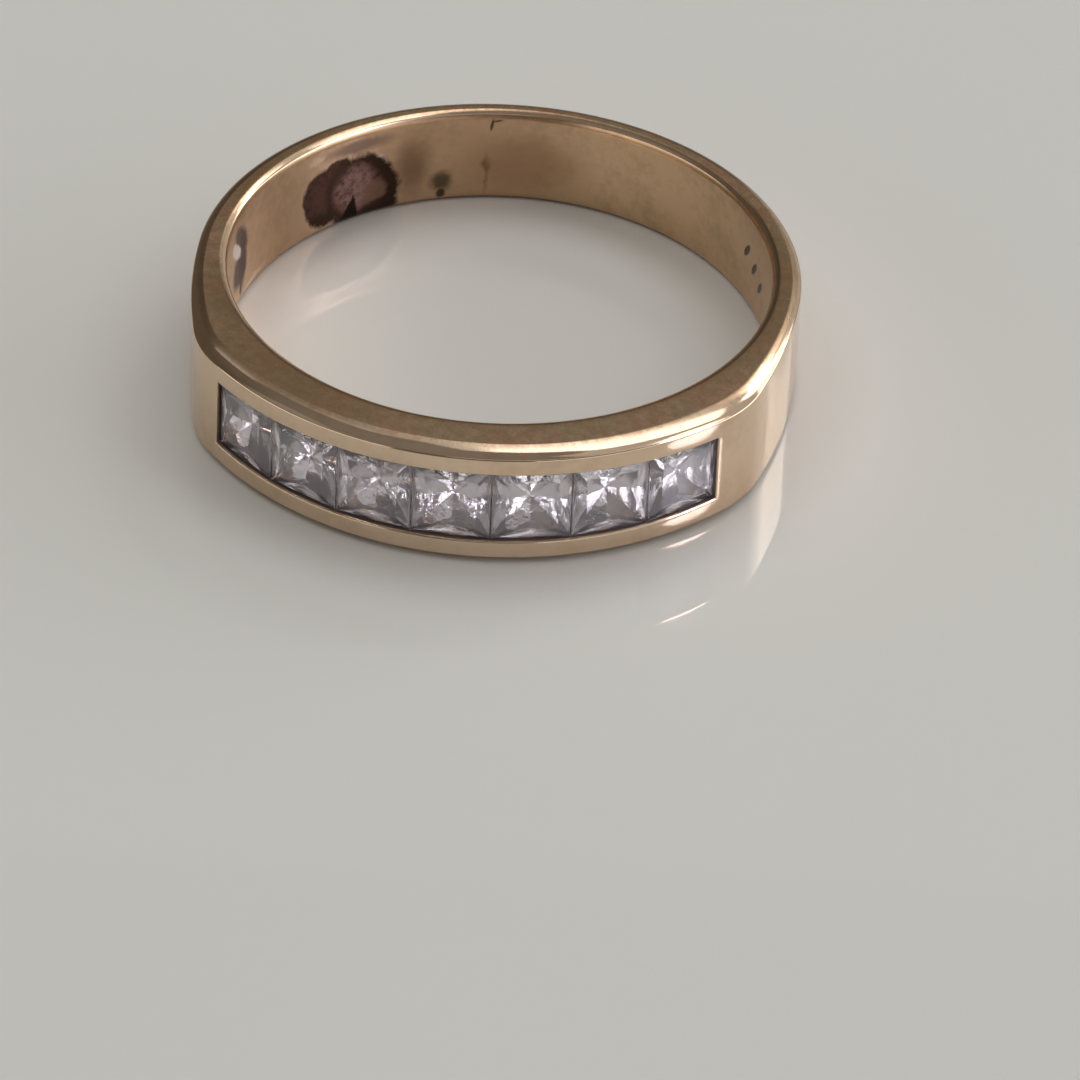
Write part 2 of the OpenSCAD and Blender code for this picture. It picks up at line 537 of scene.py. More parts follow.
class Skin:
    """Collects grids of points that share edges, and joins them into one closed mesh."""

    merge = 2e-7

    def __init__(self) -> None:
        """Starts empty."""
        self.points: list[np.ndarray] = []
        self.faces: list[np.ndarray] = []
        self.count = 0

    def add(self, points: np.ndarray, faces: np.ndarray) -> None:
        """Adds a grid.

        Args:
            points: Points of the grid, each a row of three numbers.
            faces: Point numbers of the quads between them.
        """
        flat = points.reshape(-1, 3)
        self.points.append(flat)
        self.faces.append(faces + self.count)
        self.count += len(flat)

    def build(self, name: str, place: Any, sharp_angle: float) -> bpy.types.Object:
        """Joins the grids where their points meet.

        Args:
            name: Name of the new object.
            place: Function that takes all points to metres in the frame of the model.
            sharp_angle: Edges bent by more than this many degrees stay crisp.

        Returns:
            The new object, at the origin, with its faces pointing outwards.
        """
        mesh = bpy.data.meshes.new(name)
        mesh.from_pydata(place(np.concatenate(self.points)), [], np.concatenate(self.faces))
        work = bmesh.new()
        work.from_mesh(mesh)
        bmesh.ops.remove_doubles(work, verts=work.verts, dist=self.merge)
        bmesh.ops.recalc_face_normals(work, faces=work.faces)
        work.to_mesh(mesh)
        work.free()
        mesh.polygons.foreach_set("use_smooth", np.ones(len(mesh.polygons), bool))
        mesh.set_sharp_from_angle(angle=math.radians(sharp_angle))
        mesh.update()
        thing = bpy.data.objects.new(name, mesh)
        bpy.context.scene.collection.objects.link(thing)
        return thing


# Gold band


@dataclass(frozen=True)
class GoldBand:
    """The band with its rails and windows, as one closed skin. Sizes are in millimetres."""

    shape: RingShape
    cells: int = 16
    back_columns: int = 299
    rise_rows: int = 4
    rim_steps: int = 3
    side_rows: int = 6
    ridge_rows: tuple[int, int] = (8, 14)
    ridge_run: Pair = (0.16, 0.92)
    corner_rows: int = 7
    rail_rows: int = 7
    mouth_rows: int = 6
    window_rows: int = 4
    rim_corners: tuple[Pair, ...] = ((0.0, 0.5), (0.0, 0.24), (0.07, 0.08), (0.25, 0.0), (0.5, 0.0))
    rim_cuts: tuple[float, ...] = (0.06, 0.05, 0.06)
    bevel_slope: float = 0.24
    bevel_start: float = 0.09
    ridge_fall: float = 0.18
    corner_cut: float = 0.03
    pillow: float = 0.005
    pillow_fade: float = 4.0
    mouth_round: float = 0.05
    window_round: float = 0.04
    window_band: float = 1.05
    sharp_angle: float = 50.0

    def columns(self) -> tuple[np.ndarray, np.ndarray]:
        """Angles of the columns round the ring, on the wall of the hole and on the outside.

        The first columns cross the stones from left to right, with the same number of cells to
        each stone. The others go on round the back.

        Returns:
            Two arrays of angles, in degrees.
        """
        s = self.shape
        share = np.linspace(-1, 1, s.stones * self.cells + 1)
        outer = s.at_face(share * self.loop_half, s.face_r)
        phi = share * s.pitch * s.stones / 2
        wall = aim(phi) * self.wall_reach(phi)[:, None] + np.array([0.0, s.face_back])
        front = [np.degrees(np.arctan2(p[:, 0], -p[:, 1])) for p in (wall, outer)]
        way = inner_shares(self.back_columns)
        return tuple(np.concatenate([f, f[-1] + (360 - 2 * f[-1]) * way]) for f in front)

    @property
    def end_slope(self) -> float:
        """Slope of the ridge at the corner."""
        return self.bevel_slope + 4 * self.ridge_fall

    @property
    def loop_half(self) -> float:
        """Half angle of the loop where the rounding of the mouth starts."""
        return self.shape.mouth_half + math.degrees(self.mouth_round / self.shape.face_r)

    def wall_reach(self, phi: np.ndarray) -> np.ndarray:
        """Way of a ray from the centre of the face, at angles round it, to the wall of the hole."""
        y = -np.cos(np.radians(phi)) * self.shape.face_back
        return -y + np.sqrt(y**2 - self.shape.face_back**2 + self.shape.hole_r**2)

    def upper_rows(self, wall: np.ndarray, outer: np.ndarray) -> np.ndarray:
        """Rows of the upper half of the profile, from the middle of the wall to the middle of the face.

        Each row gives a distance from the axis and a height. Over the ridge the depth in shares of
        the edge's width is a (sqrt(s^2 + b^2) - b) + c s^4: a bevel with a soft start that ends
        steeper. The corner below it is rounded.

        Args:
            wall: Angles of the columns on the wall of the hole.
            outer: Angles of the columns on the outside.

        Returns:
            Array of columns by rows by (angle, distance, height).
        """
        s = self.shape

        def row(angle: np.ndarray, distance: Any, depth: Any) -> np.ndarray:
            """One row at a depth below the side of the band."""
            y = -distance * np.cos(np.radians(angle))
            return np.stack(np.broadcast_arrays(angle, distance, s.half_w(y) - depth), -1)

        half = self.cells // 2
        from_front = (outer + 180) % 360 - 180
        r_out = s.outer_r(from_front)
        thick = r_out - s.hole_r
        edge_w = s.edge_w_share * thick
        rim = rounded_path(self.rim_corners, self.rim_cuts, self.rim_steps)
        wall_hw = s.half_w(-s.hole_r * np.cos(np.radians(wall)))
        block = [row(wall, s.hole_r, wall_hw - self.window_band * k / half) for k in range(half + 1)]
        rise = [
            row(wall, s.hole_r, (wall_hw - self.window_band) * (1 - f) + rim[0, 1] * f)
            for f in inner_shares(self.rise_rows)
        ]
        rims = [row(wall, s.hole_r + a, b) for a, b in rim]
        side = [
            row(wall * (1 - f) + outer * f, (s.hole_r + rim[-1, 0]) * (1 - f) + (r_out - edge_w) * f, 0.0)
            for f in inner_shares(self.side_rows)
        ]

        def fall(share: float) -> float:
            """Depth of the ridge at a share of its width, in edge widths."""
            bevel = math.hypot(share, self.bevel_start) - self.bevel_start
            return self.bevel_slope * bevel + self.ridge_fall * share**4

        soft, last = self.ridge_run
        fine, coarse = self.ridge_rows
        run = np.concatenate([np.linspace(0, soft, fine + 1)[:-1], np.linspace(soft, last, coarse)])
        ridge = [row(outer, r_out - edge_w * (1 - f), edge_w * fall(f)) for f in run]
        drop = edge_w * fall(1.0)
        turn = []
        for f in np.linspace(0, 1, self.corner_rows):
            d = r_out - (1 - f) ** 2 * self.corner_cut
            h = (1 - f) ** 2 * (drop - self.corner_cut * self.end_slope) + 2 * f * (1 - f) * drop
            turn.append(row(outer, d, h + f**2 * (drop + self.corner_cut)))
        y_face = -r_out * np.cos(np.radians(outer))
        loop_h = s.half_mouth(y_face) + self.mouth_round
        rail_top = s.half_w(y_face) - drop - self.corner_cut
        face_left = s.channel_half + s.face_margin - np.abs(from_front)
        swell = self.pillow * np.clip(face_left / self.pillow_fade, 0, 1)
        rail = []
        for f in inner_shares(self.rail_rows):
            height = rail_top * (1 - f) + loop_h * f
            rail.append(row(outer, r_out + swell * (1 - (2 * f - 1) ** 2), s.half_w(y_face) - height))
        mouth = [row(outer, r_out, s.half_w(y_face) - loop_h * (1 - k / half)) for k in range(half + 1)]
        return np.stack(block + rise + rims + side + ridge + turn + rail + mouth, 1)

    def outside(self, skin: Skin) -> None:
        """Adds the profile carried round the ring, without the channel's mouth and the windows.

        Args:
            skin: Skin that the grid is added to.
        """
        wall, outer = self.columns()
        upper = self.upper_rows(wall, outer)
        lower = upper[:, -2:0:-1] * np.array([1, 1, -1])
        loop = np.concatenate([upper, lower], 1)
        n_u, n_v, middle = loop.shape[0], loop.shape[1], upper.shape[1] - 1
        angle, distance, height = np.moveaxis(loop, -1, 0)
        points = np.concatenate([aim(angle) * distance[..., None], height[..., None]], -1)
        front = self.shape.stones * self.cells
        half = self.cells // 2
        keep = np.ones((n_u, n_v), bool)
        keep[:front, middle - half : middle + half] = False
        keep[:front, :half] = False
        keep[:front, n_v - half :] = False
        skin.add(points, grid_faces(n_u, n_v, True, True, keep))

    def square(self, columns: int) -> tuple[np.ndarray, np.ndarray]:
        """Points round a rectangle of cells, from its top left corner.

        Args:
            columns: Cells along the rectangle.

        Returns:
            Shares (-1 to 1) along and across.
        """
        along = np.linspace(-1, 1, columns + 1)
        down = np.linspace(1, -1, self.cells + 1)
        u = np.concatenate([along[:-1], np.ones(self.cells), along[:0:-1], -np.ones(self.cells)])
        v = np.concatenate([np.ones(columns), down[:-1], -np.ones(columns), down[:0:-1]])
        return u, v

    def recess(self, skin: Skin) -> None:
        """Adds the walls of the channel: a loop round its mouth, carried down over lip, groove and ledge.

        A level is a half angle, a way from the middle to the loop's long sides and a distance from
        the centre of the face.

        Args:
            skin: Skin that the grid is added to.
        """
        s = self.shape
        bend = np.radians(np.linspace(0, 90, self.mouth_rows))
        groove = s.stone_h / 2 + s.seat_gap
        ledge_r = s.girdle_r - s.girdle_t - s.ledge_drop
        lip_r = s.face_r - s.lip_t
        u, v = self.square(s.stones * self.cells)
        levels = []

        def level(half_angle: float, distance: float, spread: float | None, fixed: float = 0.0) -> None:
            """Adds a loop.

            Args:
                half_angle: Angle from the middle of the face to the loop's ends.
                distance: Distance from the centre of the face.
                spread: What is added to the mouth's half height, or None for a fixed one.
                fixed: The fixed half height.
            """
            flat = s.at_face(u * half_angle, np.full(u.shape, distance))
            tall = fixed if spread is None else s.half_mouth(flat[:, 1]) + spread
            levels.append(np.column_stack([flat, v * tall]))

        for turn in bend:
            out = self.mouth_round * (1 - math.sin(turn))
            drop = self.mouth_round * (1 - math.cos(turn))
            level(s.mouth_half + math.degrees(out / s.face_r), s.face_r - drop, out)
        level(s.mouth_half, lip_r, 0.0)
        level(s.channel_half, lip_r, None, groove)
        level(s.channel_half, ledge_r, None, groove)
        level(s.channel_half, ledge_r, None, groove - s.ledge_overlap)
        level(s.channel_half, s.floor_r, None, groove - s.ledge_overlap)
        skin.add(np.stack(levels), grid_faces(len(levels), len(u), wrap_v=True))

    def windows(self, skin: Skin) -> None:
        """Adds each window: a loop of cells on the wall drawn in to a circle, through, and out again.

        Args:
            skin: Skin that the grids are added to.
        """
        s = self.shape
        wall, _ = self.columns()
        u, v = self.square(self.cells)
        turn = np.arctan2(v, u)
        groove = s.stone_h / 2 + s.seat_gap - s.ledge_overlap
        first = np.rint((u + 1) / 2 * self.cells).astype(int)
        bend = np.radians(np.linspace(0, 90, self.window_rows))
        rounding = list(zip(self.window_round * (1 - np.sin(bend)), self.window_round * (1 - np.cos(bend))))
        blend = np.linspace(0, 1, self.window_rows)
        for k in range(s.stones):
            phi = (k - (s.stones - 1) / 2) * s.pitch
            across = aim(np.array(phi + 90.0))

            def circle(radius: float, reach: Any) -> np.ndarray:
                """Circle round the window's axis.

                Args:
                    radius: Its radius.
                    reach: Distance of its points from the centre of the face.

                Returns:
                    Its points, one a row.
                """
                sideways = radius * np.cos(turn)
                flat = s.at_face(np.full(turn.shape, phi), reach) + across * sideways[:, None]
                return np.column_stack([flat, radius * np.sin(turn)])

            def wall_hit(radius: float) -> np.ndarray:
                """Reach at which a circle round the window's axis meets the wall of the hole.

                Args:
                    radius: Radius of the circle.

                Returns:
                    One reach for each point.
                """
                base = np.array([0.0, s.face_back]) + across * (radius * np.cos(turn))[:, None]
                along = base @ aim(np.array(phi))
                return -along + np.sqrt(along**2 - (base**2).sum(1) + s.hole_r**2)

            def floor_hit(radius: float) -> np.ndarray:
                """Reach at which such a circle meets the floor of the channel."""
                return np.sqrt(s.floor_r**2 - (radius * np.cos(turn)) ** 2)

            wide = s.window_r + self.window_round
            block_angle = wall[k * self.cells + first]
            block = np.column_stack([block_angle, v * self.window_band])
            ring = circle(wide, wall_hit(wide))
            ring_angle = np.column_stack([np.degrees(np.arctan2(ring[:, 0], -ring[:, 1])), ring[:, 2]])
            levels = []
            for f in blend[:-1]:
                spot = block * (1 - f) + ring_angle * f
                levels.append(np.column_stack([aim(spot[:, 0]) * s.hole_r, spot[:, 1]]))
            for out, drop in rounding:
                levels.append(circle(s.window_r + out, wall_hit(s.window_r + out) + drop))
            for out, drop in rounding[::-1]:
                levels.append(circle(s.window_r + out, floor_hit(s.window_r + out) - drop))
            top = circle(wide, floor_hit(wide))
            top_turn = np.degrees(np.arctan2(top[:, 0], s.face_back - top[:, 1]))
            top_angle = np.column_stack([top_turn, top[:, 2]])
            share = (2 * (k * self.cells + first) / (s.stones * self.cells) - 1) * s.channel_half
            edge = np.column_stack([share, v * groove])
            for f in blend[1:]:
                spot = top_angle * (1 - f) + edge * f
                levels.append(np.column_stack([s.at_face(spot[:, 0], s.floor_r), spot[:, 1]]))
            skin.add(np.stack(levels), grid_faces(len(levels), len(u), wrap_v=True))

    def build(self) -> bpy.types.Object:
        """Builds the whole band as one closed mesh.

        Returns:
            The band's object.
        """
        skin = Skin()
        self.outside(skin)
        self.recess(skin)
        self.windows(skin)
        return skin.build("gold_band", self.shape.laid, self.sharp_angle)


# Cut stones


@dataclass(frozen=True)
class CutStone:
    """One square-cut stone: a table, a crown in three rows and a pavilion of chevrons. Sizes in mm.

    Eight points lie round it at each level: four at the corners and four at the middles of the
    sides. A level gives the share of the half width and the height of both kinds. Where a corner
    or a middle stays put from one level to the next, the facet between them is a triangle.
    """

    shape: RingShape
    number: int
    table_share: float = 0.66
    crown_h: float = 0.16
    crown_knee: Pair = (0.84, 0.58)
    pavilion_h: float = 1.38
    chevrons: tuple[Pair, ...] = ((0.9, 0.17), (0.77, 0.34), (0.6, 0.51), (0.36, 0.7))
    sharp_angle: float = 3.0

    @property
    def levels(self) -> np.ndarray:
        """Shares and heights from the table to the point.

        Returns:
            Share and height of the corners, then of the middles, one level a row.
        """
        knee = (self.crown_knee[0], self.crown_knee[1] * self.crown_h)
        girdle = -self.shape.girdle_t
        point = girdle - self.pavilion_h
        folds = [(1.0, girdle, share, girdle - depth * self.pavilion_h) for share, depth in self.chevrons]
        return np.array(
            [
                (0.0, self.crown_h, 0.0, self.crown_h),
                (self.table_share, self.crown_h, self.table_share, self.crown_h),
                (self.table_share, self.crown_h, *knee),
                (1.0, 0.0, *knee),
                (1.0, 0.0, 1.0, 0.0),
                (1.0, girdle, 1.0, girdle),
                *folds,
                (0.0, point, 0.0, point),
            ]
        )

    def build(self) -> bpy.types.Object:
        """Builds the stone, looking straight out of the face at its own place in the row.

        Returns:
            The stone's object.
        """
        s = self.shape
        around = np.array([(1, 1), (0, 1), (-1, 1), (-1, 0), (-1, -1), (0, -1), (1, -1), (1, 0)], float)
        levels = self.levels
        middle = np.arange(8) % 2 == 1
        share = np.where(middle, levels[:, 2:3], levels[:, 0:1])
        height = np.where(middle, levels[:, 3:4], levels[:, 1:2])
        phi = (self.number - (s.stones + 1) / 2) * s.pitch
        sideways = share * around[:, 0] * s.stone_w / 2
        flat = s.at_face(np.full(height.shape, phi), s.girdle_r + height)
        flat = flat + aim(np.array(phi + 90.0)) * sideways[..., None]
        points = np.concatenate([flat, (share * around[:, 1] * s.stone_h / 2)[..., None]], -1)
        skin = Skin()
        skin.add(points, grid_faces(len(levels), 8, wrap_v=True))
        return skin.build(f"cut_stone_{self.number}", s.laid, self.sharp_angle)


# Finishes


@dataclass(frozen=True)
class Stroke:
    """A mark on the wall of the hole.

    It has its full strength within the inner edge and ends at the outer one, both in shares of
    the oval. Relief below 0 sinks it in, and such a mark isn't frayed.
    """

    spot: Spot
    colour: Colour
    strength: float = 1.0
    inner: float = 0.85
    outer: float = 1.15
    relief: float = 0.0


@dataclass(frozen=True)
class ArchedStain:
    """The arched stain: two lobes with a dark rim, a black notch and a black right edge.

    Its outline joins the left lobe, the arch and the filling between them. The core is the arch
    without its right edge. Places are on the unrolled wall of the hole, and a pair of numbers
    says between which two values a soft step runs.
    """

    dark: Colour = (0.035, 0.018, 0.01)
    middle: Colour = (0.086, 0.041, 0.027)
    pale: Colour = (0.26, 0.15, 0.12)
    tan: Colour = (0.18, 0.102, 0.064)
    soot: Colour = (0.01, 0.005, 0.003)
    left_lobe: Spot = Spot(-7.42, -0.4, 0.88, 1.1, 12.0)
    arch: Spot = Spot(-5.85, -0.8, 1.3, 1.62, 12.0)
    core: Spot = Spot(-6.2, -0.85, 1.22, 1.5, 12.0)
    pale_patch: Spot = Spot(-6.15, -0.45, 0.95, 1.1, 12.0)
    tan_patch: Spot = Spot(-5.4, -0.85, 0.5, 0.55)
    filling: Spot = Spot(-6.95, 0.27, 0.75, 0.5, 38.0)
    notch: Notch = Notch(-6.2, -0.65, 0.588, 0.176)
    notch_edge: Pair = (0.05, -0.06)
    outline: Pair = (1.1, 0.9)
    blotches: Pair = (0.46, 0.8)
    rim_inner: Pair = (0.84, 0.98)
    rim_outer: Pair = (1.25, 1.0)
    rim_filling: Pair = (1.1, 0.5)
    core_edge: Pair = (0.92, 1.06)
    arch_edge: Pair = (1.05, 0.95)
    pale_edge: Pair = (1.05, 0.5)
    pale_grit: Pair = (0.75, 0.35)
    tan_edge: Pair = (1.15, 0.6)
    left_foot: Pair = (-0.75, -1.25)
    right_foot: Pair = (-1.1, -1.26)
    right_foot_start: Pair = (-6.1, -5.75)
    frayed: float = 0.25
    rim_share: float = 0.7
    foot_share: float = 0.9

    def paint(self, shader: Shader, u: Num, v: Num, grit: Num, base: Any) -> tuple[Any, Num]:
        """Lays the colours of the stain over one another: first the mottle, last the notch.

        Args:
            shader: Shader that the nodes are added to.
            u: Way along the unrolled wall, in mm.
            v: Way up the unrolled wall, in mm.
            grit: Noise that mottles the stain and frays its edge.
            base: Colour of the wall round it.

        Returns:
            The colour, and the share of the surface that the stain covers.
        """
        spots = (self.left_lobe, self.arch, self.core, self.pale_patch, self.tan_patch, self.filling)
        left, arch, core, pale, tan, fill = (shader.blob(u, v, spot) for spot in spots)
        reach = left.least(arch).least(fill) + (grit - 0.5) * self.frayed
        inner_rim = arch.step(*self.rim_inner).most(fill.step(*self.rim_filling))
        rim = inner_rim * arch.step(*self.rim_outer)
        right_edge = core.step(*self.core_edge) * arch.step(*self.arch_edge)
        left_foot = v.step(*self.left_foot) * left.step(*self.outline)
        right_foot = (v - u * 0.3 - 1.6).step(*self.right_foot) * u.step(*self.right_foot_start)
        layers = (
            ((grit * 0.8 + reach * 0.25).step(*self.blotches), self.dark),
            (left_foot * self.foot_share, self.dark),
            (pale.step(*self.pale_edge) * grit.step(*self.pale_grit), self.pale),
            (tan.step(*self.tan_edge) * self.foot_share, self.tan),
            (right_edge.most(rim * self.rim_share), self.dark),
            (right_foot * self.foot_share, self.dark),
            (shader.wedge(u, v, self.notch).step(*self.notch_edge), self.soot),
        )
        colour: Any = self.middle
        for share, layer in layers:
            colour = shader.mix(share, colour, layer)
        cover = reach.step(*self.outline)
        return shader.mix(cover, base, colour), cover


@dataclass(frozen=True)
class GoldFinish:
    """Pale gold, polished and then worn, with painted shade in its channel and a few painted highlights on
    the wall of the hole. Sizes are in millimetres.

    A pair of numbers says between which two values a soft step runs. Only the tilt of the
    hairlines is in radians, and wander and frayed say how far the marks stray along and up the
    wall. Scratches are given by their direction in degrees and the noise at which they start and
    are full.
    """

    shape: RingShape
    outer_gold: Colour = (0.785, 0.605, 0.445)
    dull_gold: Colour = (0.60, 0.43, 0.28)
    # Gold of the wall of the hole, deeper than the outside's: partly oxide, partly painted light bounced
    # round inside the hole
    wall_gold: Colour = (0.70, 0.49, 0.305)
    brown_gold: Colour = (0.42, 0.27, 0.165)
    olive: Colour = (0.44, 0.33, 0.19)
    russet: Colour = (0.52, 0.31, 0.19)
    side_brown: Colour = (0.36, 0.25, 0.14)
    # Near black for the painted shade on the channel's walls under the lips
    channel_shade: Colour = (0.05, 0.032, 0.024)
    stain: ArchedStain = ArchedStain()
    cloud: Grain = Grain(0.55, 4.0)
    mottle: Grain = Grain(3.0, 4.0, 0.6)
    patches: Grain = Grain(1.5, 5.0, 0.62)
    fine_grain: Grain = Grain(14.0, 3.0, 0.65)
    drift: Grain = Grain(1.3)
    fray: Grain = Grain(5.0, 3.0, 0.7)
    grit: Grain = Grain(4.5, 4.0, 0.72)
    hairline: Grain = Grain(1.0, 2.0, 0.5)
    hairline_scale: tuple[float, float, float] = (0.35, 14.0, 5.0)
    hairline_tilt: Pair = (0.3, 0.2)
    scratches: tuple[tuple[float, float, float], ...] = ((28.0, 0.6, 0.75), (-52.0, 0.62, 0.78))
    dull_edge: Pair = (0.7, 1.1)
    dull_share: float = 0.45
    worn_edge: Pair = (0.33, 0.67)
    russet_edge: Pair = (0.4, 0.6)
    brown_edge: Pair = (0.5, 0.8)
    brown_share: float = 0.5
    side_spot_edge: Pair = (1.2, 0.2)
    side_spot_share: float = 0.55
    wall_edge: Pair = (0.12, 0.03)
    side_edge: Pair = (0.07, 0.015)
    inward_edge: Pair = (0.75, 0.1)
    # Where the painted shade in the channel lies, and how much of it is mixed in
    channel_shade_height: Pair = (1.42, 1.38)
    channel_shade_end: Pair = (0.02, 0.005)
    channel_shade_top: Pair = (0.04, 0.1)
    channel_shade_foot: Pair = (-0.12, -0.06)
    channel_shade_share: float = 0.93
    wander: Pair = (0.3, -0.18)
    frayed: Pair = (0.22, 0.18)
    dark_below: float = 0.5
    roughness: float = 0.07
    wall_roughness: float = 0.23
    dirt_roughness: float = 0.12
    # Roughness, and two lines down dullness, of the painted shade in the channel
    channel_shade_roughness: float = 0.4
    stain_dullness: float = 0.06
    channel_shade_dullness: float = 0.9
    relief_depth: float = 0.008
    relief_strength: float = 0.2
    mark_height: float = 3.0
    stain_height: float = 0.8

    # Middle, half sizes and turn, then colour, strength, inner and outer edge, and relief
    strokes: tuple[Stroke, ...] = (
        Stroke(Spot(-3.2, 0.0, 4.6, 2.2), (0.42, 0.26, 0.155), 0.5, 0.4, 1.2),
        Stroke(Spot(-9.3, 0.0, 1.7, 2.0), (0.42, 0.27, 0.17), 0.5, 0.3, 1.3),
        Stroke(Spot(-0.3, -0.25, 2.2, 1.2), (0.36, 0.2, 0.115), 0.6, 0.3, 1.3),
        Stroke(Spot(-6.1, 1.15, 1.5, 0.36), (0.17, 0.11, 0.075), 0.85, 0.3, 1.2),
        Stroke(Spot(-4.1, -0.2, 0.7, 1.2), (0.22, 0.125, 0.075), 0.8, 0.2, 1.3),
        Stroke(Spot(-3.08, -0.9, 0.46, 0.46), (0.12, 0.085, 0.05), 0.95, 0.3, 1.2),
        Stroke(Spot(-3.1, -1.38, 0.16, 0.2), (0.05, 0.035, 0.02), 0.9, 0.6, 1.1),
        Stroke(Spot(-1.6, -0.35, 0.17, 0.3), (0.2, 0.12, 0.07), 0.7, 0.2, 1.3),
        Stroke(Spot(-1.63, -0.7, 0.07, 0.8), (0.22, 0.13, 0.08), 0.55, 0.2, 1.4),
        Stroke(Spot(-1.47, 1.22, 0.06, 0.26, -10.0), (0.1, 0.06, 0.035), 0.9, 0.5, 1.2, -1.0),
        Stroke(Spot(-1.3, 1.38, 0.2, 0.05, 12.0), (0.12, 0.07, 0.04), 0.85, 0.5, 1.2, -1.0),
        # The next two are painted highlights: pale spots that stand for a bright window mirrored in the
        # wall
        Stroke(Spot(-7.7, 1.2, 0.42, 0.17), (0.9, 0.72, 0.52), 0.6, 0.3, 1.2),
        Stroke(Spot(-5.12, 0.38, 0.13, 0.36, 40.0), (0.9, 0.72, 0.62), 0.9, 0.4, 1.3),
        Stroke(Spot(-12.2, 0.75, 0.85, 0.42, -42.0), (0.12, 0.07, 0.06), 0.9, 0.6, 1.15),
        Stroke(Spot(-12.05, -0.15, 0.42, 1.25), (0.09, 0.052, 0.042), 0.9, 0.6, 1.15),
        Stroke(Spot(-12.4, -0.4, 0.8, 0.75), (0.1, 0.06, 0.048), 0.95, 0.55, 1.1),
        Stroke(Spot(-12.15, -1.2, 0.14, 0.35), (0.09, 0.055, 0.045), 0.9, 0.5, 1.1),
        # The next two are painted highlights: a white streak, and a cream glint along the lower rim
        Stroke(Spot(-12.7, 0.55, 0.75, 0.27, -42.0), (1.0, 0.95, 0.93), 1.0, 0.6, 1.1),
        Stroke(Spot(-11.2, -1.5, 0.9, 0.16, 8.0), (0.95, 0.8, 0.6), 0.6, 0.3, 1.2),
        Stroke(Spot(8.95, 0.3, 0.13, 0.36, -35.0), (0.09, 0.055, 0.03), 0.95, 0.75, 1.15, -1.5),
        Stroke(Spot(9.6, 0.0, 0.13, 0.36, -35.0), (0.09, 0.055, 0.03), 0.95, 0.75, 1.15, -1.5),
        Stroke(Spot(10.25, -0.3, 0.13, 0.36, -35.0), (0.09, 0.055, 0.03), 0.95, 0.75, 1.15, -1.5),
    )

    side_spots: tuple[Spot, ...] = (
        Spot(-21.5, 0.9, 4.2, 1.3),
        Spot(-17.0, 0.4, 2.2, 1.0),
        Spot(-9.5, 0.4, 3.5, 0.8),
        Spot(14.0, 0.4, 5.5, 0.9),
    )

    def hairlines(self, shader: Shader, place: Any) -> Num:
        """Fine straight scratches: noise drawn out forty to one in each direction, above a threshold.

        Args:
            shader: Shader that the nodes are added to.
            place: Socket of the place, in millimetres.

        Returns:
            How much of a scratch there is, from 0 to 1.
        """
        lines: Any = None
        for turn, low, high in self.scratches:
            way = (*self.hairline_tilt, math.radians(turn))
            inputs = {"Vector": place, "Rotation": way, "Scale": self.hairline_scale}
            streak = shader.node("ShaderNodeMapping", inputs=inputs)
            found = shader.noise(streak.outputs[0], self.hairline).step(low, high)
            lines = found if lines is None else lines.most(found)
        return lines

    def build(self) -> bpy.types.Material:
        """Mixes the gold from the outside, the wall of the hole and the painted shade in the channel.

        Returns:
            The node material of the band.
        """
        material = bpy.data.materials.new("worn_gold")
        shader = Shader(material)
        s = self.shape
        place = s.place(shader)
        x, y, z = shader.split(place)
        cloud = shader.noise(place, self.cloud)
        mottle = shader.noise(place, self.mottle)
        patchy = shader.noise(place, self.patches)
        grain = shader.noise(place, self.fine_grain)
        grit = shader.noise(place, self.grit)
        lines = self.hairlines(shader, place)

        # Where the wall of the hole and the sides of the band are
        off_wall = (x * x + y * y).root() - s.hole_r
        on_wall = off_wall.step(*self.wall_edge)
        below_side = s.mid_w / 2 - y * s.lean_slope - abs(z)
        on_side = below_side.step(*self.side_edge) * (1.0 - on_wall)
        inward = off_wall.step(*self.inward_edge) * on_side

        # Outside, with tarnish on its sides, which grow darker towards the hole
        dulled = (cloud + mottle * 0.6).step(*self.dull_edge) * self.dull_share
        outside = shader.mix(dulled, self.outer_gold, self.dull_gold)
        worn = (mottle * 0.4 + patchy * 0.2 + grain * 0.4).step(*self.worn_edge)
        tarnish = shader.mix(cloud.step(*self.russet_edge), self.olive, self.russet)
        outside = shader.mix(on_side * (worn * 0.58 + 0.32) + inward * 0.2, outside, tarnish)
        u = x.angle_from(y) * s.hole_r
        for spot in self.side_spots:
            darker = shader.blob(u, off_wall, spot).step(*self.side_spot_edge) * on_side
            outside = shader.mix(darker * self.side_spot_share, outside, self.side_brown)

        # Wall of the hole, with its marks, a few painted highlights and the stain
        browned = (mottle * 0.5 + cloud * 0.7).step(*self.brown_edge) * self.brown_share
        # The wall's deeper gold is partly painted bounce light
        wall = shader.mix(browned, self.wall_gold, self.brown_gold)
        shift = shader.noise(place, self.drift) - 0.5
        fray = shader.noise(place, self.fray) - 0.5
        wavy_u = u + shift * self.wander[0] + fray * self.frayed[0]
        wavy_v = z + shift * self.wander[1] + fray * self.frayed[1]
        relief: Term = 0.0
        dirt: Term = 0.0
        for stroke in self.strokes:
            fine = stroke.relief != 0.0
            reach = shader.blob(u if fine else wavy_u, z if fine else wavy_v, stroke.spot)
            share = reach.step(stroke.outer, stroke.inner) * stroke.strength
            wall = shader.mix(share, wall, stroke.colour)
            if fine:
                relief = share * stroke.relief + relief
            elif stroke.colour[0] < self.dark_below:
                dirt = share.most(dirt)
        wall, cover = self.stain.paint(shader, wavy_u, wavy_v, grit, wall)
        colour = shader.mix(on_wall, outside, wall)

